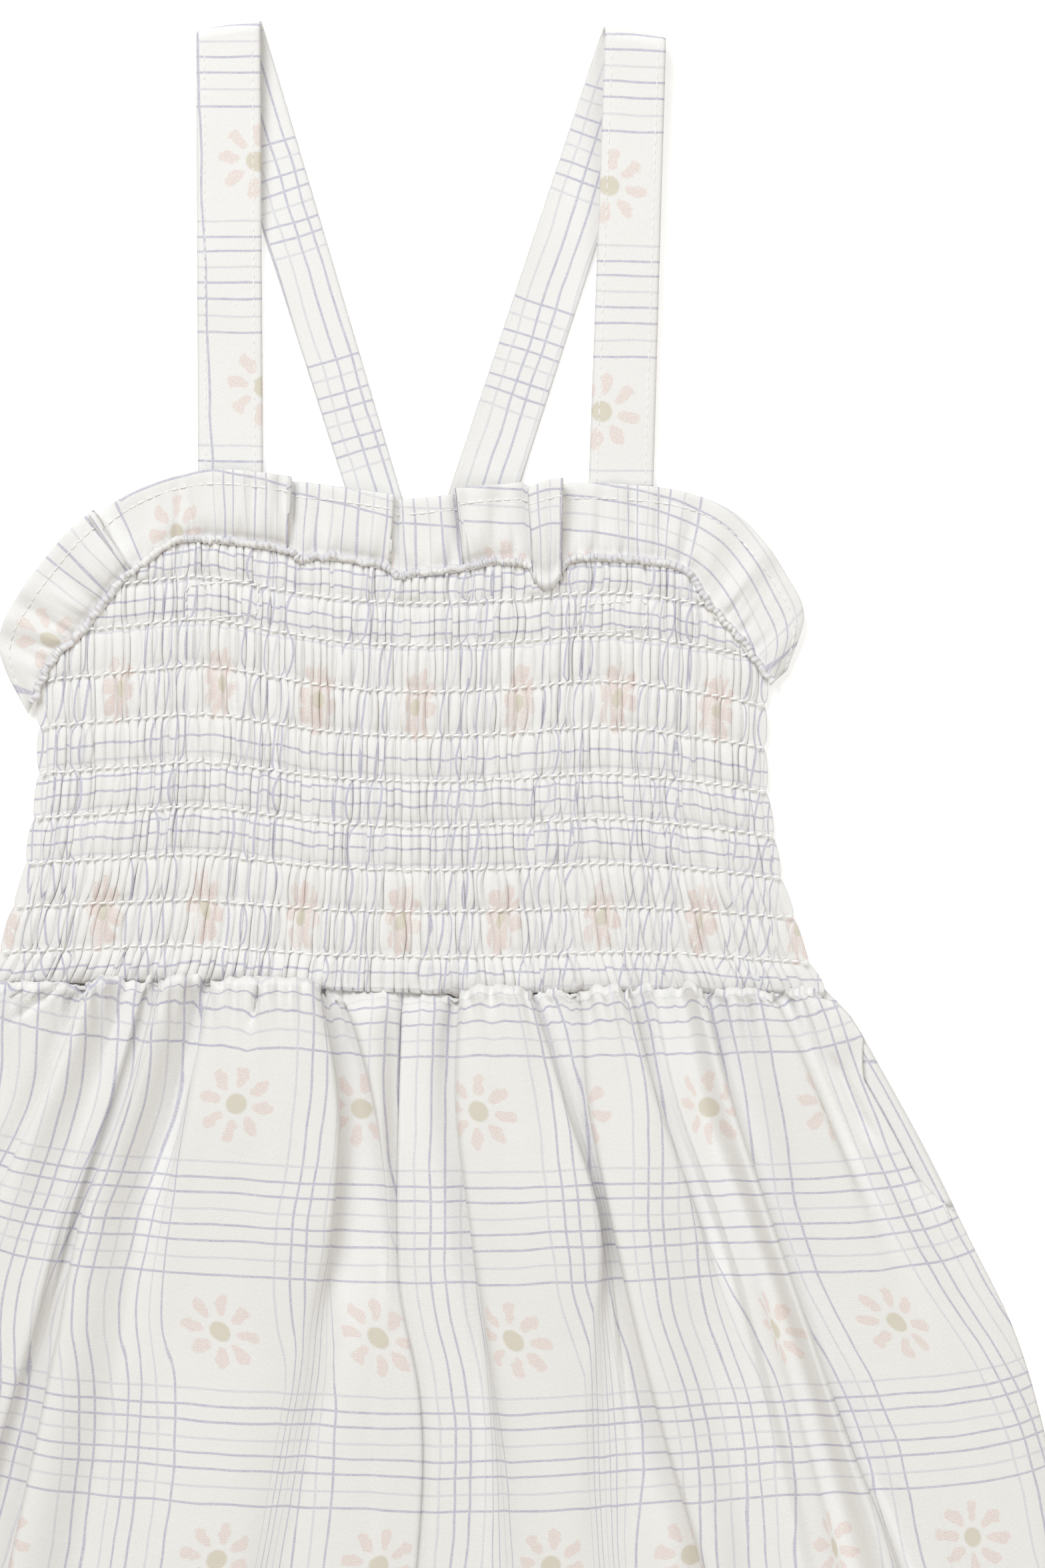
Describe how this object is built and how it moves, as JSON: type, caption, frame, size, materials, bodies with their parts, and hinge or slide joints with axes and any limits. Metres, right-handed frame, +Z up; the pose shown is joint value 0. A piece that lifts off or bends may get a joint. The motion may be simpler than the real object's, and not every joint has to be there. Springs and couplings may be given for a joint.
{
  "type": "baby jumpsuit",
  "caption": "Strappy baby jumpsuit laid flat, with a smocked bodice, a ruffled top edge, and wide gathered trouser legs with a side seam pocket.",
  "frame": {"origin": "middle of the garment's footprint, on the surface that it lies on", "axes": "+Y from the trouser hems towards the straps, +Z up from the surface through the front, +X to the right as seen from above"},
  "size_m": [0.376, 0.7238, 0.01],
  "materials": {
    "printed_cotton": "plain woven cotton, off-white with pale lavender check lines and small pink daisies",
    "pocketing": "the same cotton, for the pocket bag"
  },
  "bodies": {
    "root": {"bodice_front": "printed_cotton", "bodice_back": "printed_cotton", "ruffle": "printed_cotton", "leg_front_left": "printed_cotton", "leg_front_right": "printed_cotton", "leg_back_left": "printed_cotton", "leg_back_right": "printed_cotton", "pocket_bag": "pocketing", "strap_left": "printed_cotton", "strap_right": "printed_cotton"}
  },
  "joints": []
}
